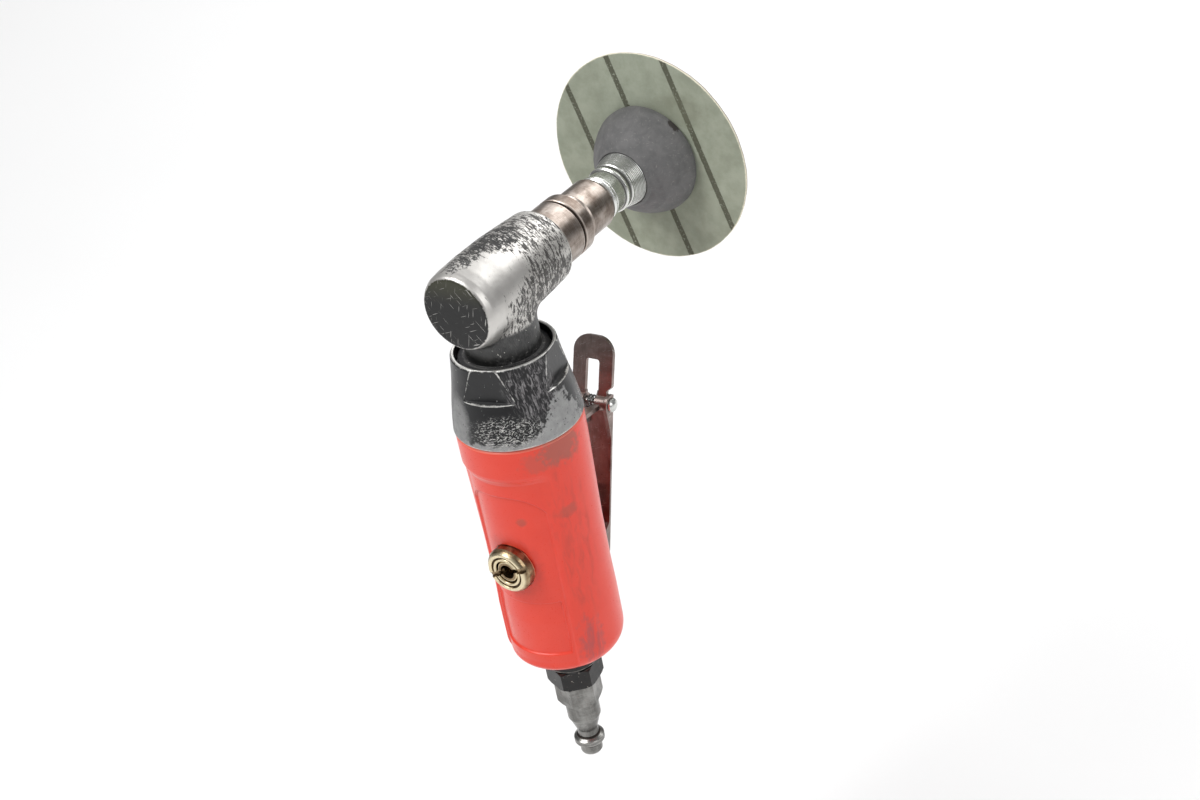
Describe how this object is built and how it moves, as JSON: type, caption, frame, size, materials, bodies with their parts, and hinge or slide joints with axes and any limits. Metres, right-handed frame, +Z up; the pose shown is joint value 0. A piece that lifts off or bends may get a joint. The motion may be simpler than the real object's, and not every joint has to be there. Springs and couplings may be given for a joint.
{
  "type": "angle die grinder",
  "caption": "Right-angle air die grinder: alloy head with collet and quick-change sanding disc, red grip with throttle lever and lock tab, side regulator, air plug.",
  "frame": {"origin": "centre of the sanding disc's work face, on the spindle axis", "axes": "+Y out of the spindle through the disc, +Z up along the handle towards the head, +X to the right seen from behind the head"},
  "size_m": [0.0762, 0.1169, 0.2273],
  "materials": {
    "worn_alloy": "cast alloy, black paint worn to bare metal",
    "black_paint": "black paint, worn at the edges",
    "red_plastic": "semi-gloss coral red",
    "tool_steel": "fine turned",
    "zinc_steel": "zinc plated",
    "lever_steel": "polished sheet steel",
    "black_oxide": "black oxide",
    "brass": "satin, tarnished",
    "bearing_steel": "ground",
    "spring_steel": "drawn wire",
    "rubber_pad": "matte dark grey",
    "abrasive_cloth": "sage green resin-bonded backing, brown grain",
    "nylon": "satin",
    "nitrile": "matte",
    "vane_composite": "phenolic, matte"
  },
  "bodies": {
    "handle": {"angle_head": "worn_alloy", "clamp_nut": "black_paint", "grip_housing": "red_plastic", "motor_sleeve": "tool_steel", "neck_seal_ring": "nitrile", "front_end_plate": "bearing_steel", "motor_cylinder": "tool_steel", "rear_end_plate": "bearing_steel", "bearing_cap": "black_oxide", "rear_needle_shell": "bearing_steel", "valve_bushing": "brass", "valve_spring": "spring_steel", "stem_seal_ring": "nitrile", "regulator_plug": "brass", "inlet_bushing": "black_oxide", "inlet_screen": "brass", "air_plug": "zinc_steel", "lever_pin": "zinc_steel", "spindle_front_bearing_outer_race": "bearing_steel", "pinion_bearing_outer_race": "bearing_steel", "rotor_front_bearing_outer_race": "bearing_steel", "rotor_rear_bearing_outer_race": "bearing_steel"},
    "spindle_group": {"spindle": "tool_steel", "bevel_gear": "tool_steel", "collet": "bearing_steel", "collet_nut": "tool_steel", "pad_hub": "zinc_steel", "backing_pad": "rubber_pad", "disc_button": "nylon", "sanding_disc": "abrasive_cloth", "spindle_front_bearing_inner_race": "bearing_steel"},
    "rotor_group": {"rotor": "tool_steel", "bevel_pinion": "tool_steel", "pinion_circlip": "spring_steel", "pinion_bearing_inner_race": "bearing_steel", "rotor_front_bearing_inner_race": "bearing_steel", "rotor_rear_bearing_inner_race": "bearing_steel"},
    "spindle_cage": {"spindle_front_bearing_ball_cage": "bearing_steel"},
    "needle_cage": {"rear_needle_cage": "bearing_steel"},
    "pinion_cage": {"pinion_bearing_ball_cage": "bearing_steel"},
    "rotor_front_cage": {"rotor_front_bearing_ball_cage": "bearing_steel"},
    "rotor_rear_cage": {"rotor_rear_bearing_ball_cage": "bearing_steel"},
    "vane_1_body": {"vane_1": "vane_composite"},
    "vane_2_body": {"vane_2": "vane_composite"},
    "vane_3_body": {"vane_3": "vane_composite"},
    "vane_4_body": {"vane_4": "vane_composite"},
    "lever_group": {"throttle_lever": "lever_steel", "lock_pin": "zinc_steel", "lock_spring": "spring_steel"},
    "lock_tab_body": {"lock_tab": "lever_steel"},
    "valve_stem_body": {"valve_stem": "zinc_steel"},
    "regulator_body": {"regulator_spool": "brass"}
  },
  "joints": [
    {"name": "spindle_spin", "type": "hinge", "parent": "handle", "child": "spindle_group", "pos_m": [0, -0.094, 0], "axis": [0, 1, 0], "continuous": true},
    {"name": "rotor_spin", "type": "hinge", "parent": "handle", "child": "rotor_group", "pos_m": [0, -0.094, 0], "axis": [0, 0, 1], "continuous": true},
    {"name": "spindle_cage_spin", "type": "hinge", "parent": "handle", "child": "spindle_cage", "pos_m": [0, -0.094, 0], "axis": [0, 1, 0], "continuous": true},
    {"name": "needle_cage_spin", "type": "hinge", "parent": "handle", "child": "needle_cage", "pos_m": [0, -0.094, 0], "axis": [0, 1, 0], "continuous": true},
    {"name": "pinion_cage_spin", "type": "hinge", "parent": "handle", "child": "pinion_cage", "pos_m": [0, -0.094, 0], "axis": [0, 0, 1], "continuous": true},
    {"name": "rotor_front_cage_spin", "type": "hinge", "parent": "handle", "child": "rotor_front_cage", "pos_m": [0, -0.094, 0], "axis": [0, 0, 1], "continuous": true},
    {"name": "rotor_rear_cage_spin", "type": "hinge", "parent": "handle", "child": "rotor_rear_cage", "pos_m": [0, -0.094, 0], "axis": [0, 0, 1], "continuous": true},
    {"name": "vane_1_slide", "type": "slide", "parent": "rotor_group", "child": "vane_1_body", "axis": [0.7071, 0.7071, 0], "range_m": [0, 0.0012]},
    {"name": "vane_2_slide", "type": "slide", "parent": "rotor_group", "child": "vane_2_body", "axis": [-0.7071, 0.7071, 0], "range_m": [0, 0.0012]},
    {"name": "vane_3_slide", "type": "slide", "parent": "rotor_group", "child": "vane_3_body", "axis": [-0.7071, -0.7071, 0], "range_m": [0, 0.0012]},
    {"name": "vane_4_slide", "type": "slide", "parent": "rotor_group", "child": "vane_4_body", "axis": [0.7071, -0.7071, 0], "range_m": [0, 0.0012]},
    {"name": "throttle_press", "type": "hinge", "parent": "handle", "child": "lever_group", "pos_m": [0, -0.07885, -0.115], "axis": [1, 0, 0], "range_deg": [0, 8], "stiffness_Nm_per_rad": 0.8, "springref_deg": -20.05},
    {"name": "lock_release", "type": "hinge", "parent": "lever_group", "child": "lock_tab_body", "pos_m": [0, -0.05607, -0.06497], "axis": [-1, 0, 0], "range_deg": [0, 80.5]},
    {"name": "valve_slide", "type": "slide", "parent": "handle", "child": "valve_stem_body", "axis": [0, -1, 0], "range_m": [0, 0.0033], "deforming": ["valve_spring"]},
    {"name": "regulator_turn", "type": "hinge", "parent": "handle", "child": "regulator_body", "pos_m": [0, -0.094, -0.0948], "axis": [0, -1, 0], "range_deg": [0, 90]}
  ],
  "couplings": [
    {"joint": "rotor_spin", "follows": "spindle_spin", "ratio": 1.25},
    {"joint": "spindle_cage_spin", "follows": "spindle_spin", "ratio": 0.379},
    {"joint": "needle_cage_spin", "follows": "spindle_spin", "ratio": 0.3571},
    {"joint": "pinion_cage_spin", "follows": "spindle_spin", "ratio": 0.4791},
    {"joint": "rotor_front_cage_spin", "follows": "spindle_spin", "ratio": 0.4938},
    {"joint": "rotor_rear_cage_spin", "follows": "spindle_spin", "ratio": 0.4634},
    {"joint": "lock_release", "follows": "throttle_press", "ratio": 10},
    {"joint": "valve_slide", "follows": "throttle_press", "m_per_rad": 0.0234}
  ]
}
